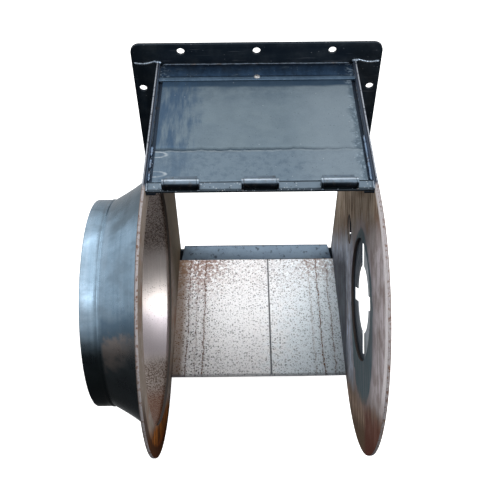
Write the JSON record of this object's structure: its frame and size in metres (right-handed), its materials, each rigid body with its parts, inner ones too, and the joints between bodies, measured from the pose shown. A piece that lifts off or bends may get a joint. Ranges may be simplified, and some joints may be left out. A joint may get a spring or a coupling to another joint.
{
  "type": "blower housing",
  "caption": "Welded steel blower housing: U-shaped side plates, inlet cone with spigot, notched drive opening, bolted rectangular outlet flange and a hinged access door.",
  "frame": {"origin": "centre line of the outlet flange's mating face, level with the middle of the side plates' round ends", "axes": "+X along the fan axis towards the drive side, +Y the way the air leaves through the outlet flange, +Z the way the access door faces"},
  "size_m": [0.3876, 0.481, 0.4588],
  "materials": {
    "plate_steel": "brown-grey oxidised, rust at the round end",
    "ring_steel": "dark heat-tinted sheet",
    "spun_steel": "blue-grey spun steel with bright bands",
    "flange_black": "near-black, half matt",
    "mill_scale": "blue-grey mill scale with scratches and tint",
    "hinge_steel": "dark blue-grey, rubbed edges",
    "back_sheet_steel": "bright pitted sheet with brown stains",
    "fastener_steel": "plain bright steel"
  },
  "bodies": {
    "housing": {"inlet_side_plate": "plate_steel", "drive_side_plate": "plate_steel", "drive_ring": "ring_steel", "inlet_cone": "spun_steel", "inlet_spigot": "spun_steel", "flange_top_bar": "flange_black", "flange_bottom_bar": "flange_black", "flange_left_bar": "flange_black", "flange_right_bar": "flange_black", "front_top_strip": "mill_scale", "hinge_strip": "mill_scale", "door_rail_left": "mill_scale", "door_rail_right": "mill_scale", "outlet_lip": "mill_scale", "hinge_ear_1_left": "hinge_steel", "hinge_ear_1_right": "hinge_steel", "hinge_ear_2_left": "hinge_steel", "hinge_ear_2_right": "hinge_steel", "hinge_ear_3_left": "hinge_steel", "hinge_ear_3_right": "hinge_steel", "back_sheet_left": "back_sheet_steel", "back_sheet_right": "back_sheet_steel", "retaining_screw": "fastener_steel", "catch_plate": "fastener_steel", "hinge_pin_1": "fastener_steel", "hinge_pin_2": "fastener_steel", "hinge_pin_3": "fastener_steel"},
    "door": {"access_door": "mill_scale", "door_hinge_eye_1": "hinge_steel", "door_hinge_eye_2": "hinge_steel", "door_hinge_eye_3": "hinge_steel"}
  },
  "joints": [
    {"name": "door_hinge", "type": "hinge", "parent": "housing", "child": "door", "pos_m": [0, -0.2536, 0.1966], "axis": [1, 0, 0], "range_deg": [0, 165]}
  ]
}
